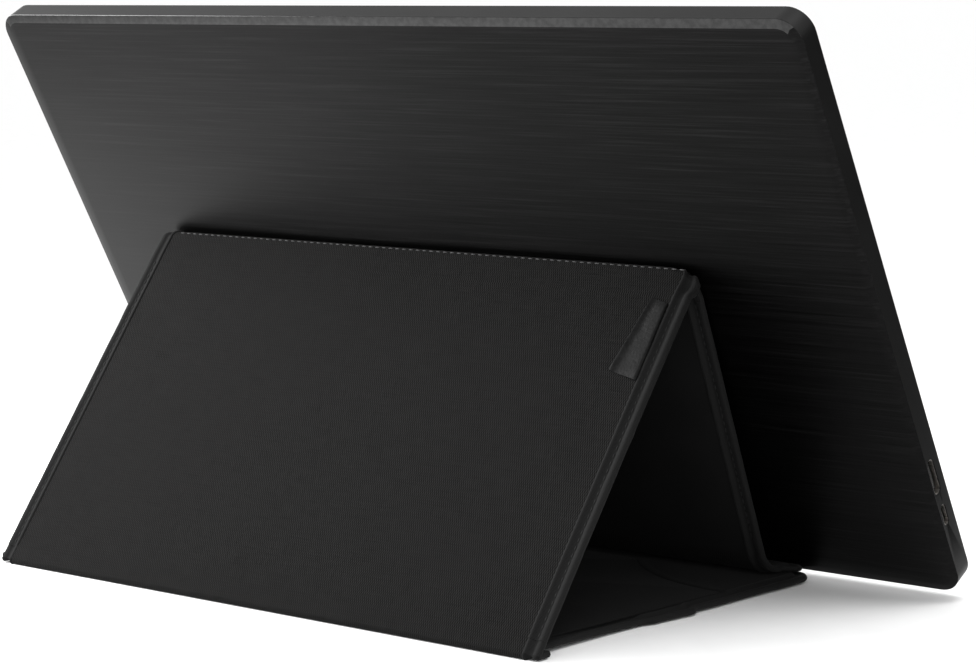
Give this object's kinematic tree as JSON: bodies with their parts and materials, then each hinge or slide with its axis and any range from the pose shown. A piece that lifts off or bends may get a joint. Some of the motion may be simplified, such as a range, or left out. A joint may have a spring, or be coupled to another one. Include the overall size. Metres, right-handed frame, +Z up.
{
  "type": "portable monitor with cover",
  "caption": "Slim portable monitor with a brushed metal back, leaning on its woven fabric cover, which is folded into a three-sided stand.",
  "frame": {"origin": "centre of the bounding box's bottom face, on the table", "axes": "+X runs along the monitor's width to the right as seen from the screen's side, +Y points away from the screen to the folded stand, +Z is up"},
  "size_m": [0.3822, 0.1694, 0.2155],
  "materials": {
    "housing_plastic": "fine matte texture",
    "brushed_plate": "dark anodised, fine horizontal brushing, bright chamfer",
    "display_glass": "dark anti-glare glass",
    "clear_plastic": "clear",
    "white_sheet": "white",
    "lamp_strip": "yellow lamps on a white strip",
    "sheet_steel": "plain zinc-plated",
    "green_board": "varnished circuit board",
    "blue_board": "varnished circuit board",
    "chip_plastic": "moulded epoxy",
    "flex": "amber film",
    "ribbon": "white ribbon",
    "port_metal": "bright nickel",
    "button_plastic": "satin",
    "woven_fabric": "dark grey plain weave",
    "binding_tape": "ribbed tape with a stitched line",
    "lining": "soft suede-like lining",
    "stiff_board": "grey pulp board",
    "magnet": "nickel-plated",
    "leather": "fine grain, dark grey"
  },
  "bodies": {
    "base": {"base_outer_fabric": "woven_fabric", "base_board": "stiff_board", "base_lining": "lining", "base_binding": "binding_tape", "base_magnets": "magnet", "pocket_panel": "lining", "foot_fold": "woven_fabric"},
    "rear_panel": {"back_outer_fabric": "woven_fabric", "back_board": "stiff_board", "back_lining": "lining", "back_bindings": "binding_tape", "apex_fold": "lining", "leather_tab": "leather"},
    "strut": {"strut_outer_fabric": "woven_fabric", "strut_board": "stiff_board", "strut_lining": "lining", "strut_bindings": "binding_tape", "bend_fold": "woven_fabric"},
    "lip": {"lip_outer_fabric": "woven_fabric", "lip_board": "stiff_board", "lip_lining": "lining", "lip_binding": "binding_tape", "lip_magnets": "magnet"},
    "monitor": {"front_housing": "housing_plastic", "rear_cover": "brushed_plate", "lcd_glass": "display_glass", "optical_films": "white_sheet", "light_guide": "clear_plastic", "reflector_sheet": "white_sheet", "lamp_strip": "lamp_strip", "backlight_frame": "white_sheet", "backlight_tray": "sheet_steel", "panel_brackets": "sheet_steel", "bracket_screws": "sheet_steel", "panel_driver_board": "green_board", "panel_flexes": "flex", "main_board": "blue_board", "board_components": "chip_plastic", "shield_can": "sheet_steel", "display_cable": "ribbon", "board_screws": "sheet_steel", "data_port": "port_metal", "data_port_tongue": "chip_plastic", "power_port": "port_metal", "power_port_tongue": "chip_plastic", "button_board": "green_board", "button_switches": "chip_plastic", "status_light": "clear_plastic"},
    "power_button": {"power_button": "button_plastic"},
    "brighter_button": {"brighter_button": "button_plastic"},
    "dimmer_button": {"dimmer_button": "button_plastic"}
  },
  "joints": [
    {"name": "rear_panel_fold", "type": "hinge", "parent": "base", "child": "rear_panel", "pos_m": [0.01045, 0.08305, 0.0016], "axis": [-1, 0, 0], "range_deg": [0, 127.52]},
    {"name": "strut_fold", "type": "hinge", "parent": "rear_panel", "child": "strut", "pos_m": [0.01045, -0.00973, 0.11946], "axis": [1, 0, 0], "range_deg": [0, 59.67]},
    {"name": "lip_fold", "type": "hinge", "parent": "strut", "child": "lip", "pos_m": [0.01045, -0.05844, 0.0051], "axis": [1, 0, 0], "range_deg": [0, 67.85]},
    {"name": "monitor_lift", "type": "slide", "parent": "base", "child": "monitor", "axis": [0, 0.4756, 0.8796], "range_m": [0, 0.25]},
    {"name": "power_button_stroke", "type": "slide", "parent": "monitor", "child": "power_button", "axis": [0, 0.8796, -0.4756], "range_m": [0, 0.0005], "stiffness_N_per_m": 300},
    {"name": "brighter_button_stroke", "type": "slide", "parent": "monitor", "child": "brighter_button", "axis": [0, 0.8796, -0.4756], "range_m": [0, 0.0005], "stiffness_N_per_m": 300},
    {"name": "dimmer_button_stroke", "type": "slide", "parent": "monitor", "child": "dimmer_button", "axis": [0, 0.8796, -0.4756], "range_m": [0, 0.0005], "stiffness_N_per_m": 300}
  ],
  "couplings": [
    {"joint": "strut_fold", "follows": "rear_panel_fold", "ratio": 0.4679},
    {"joint": "lip_fold", "follows": "rear_panel_fold", "ratio": 0.532}
  ]
}
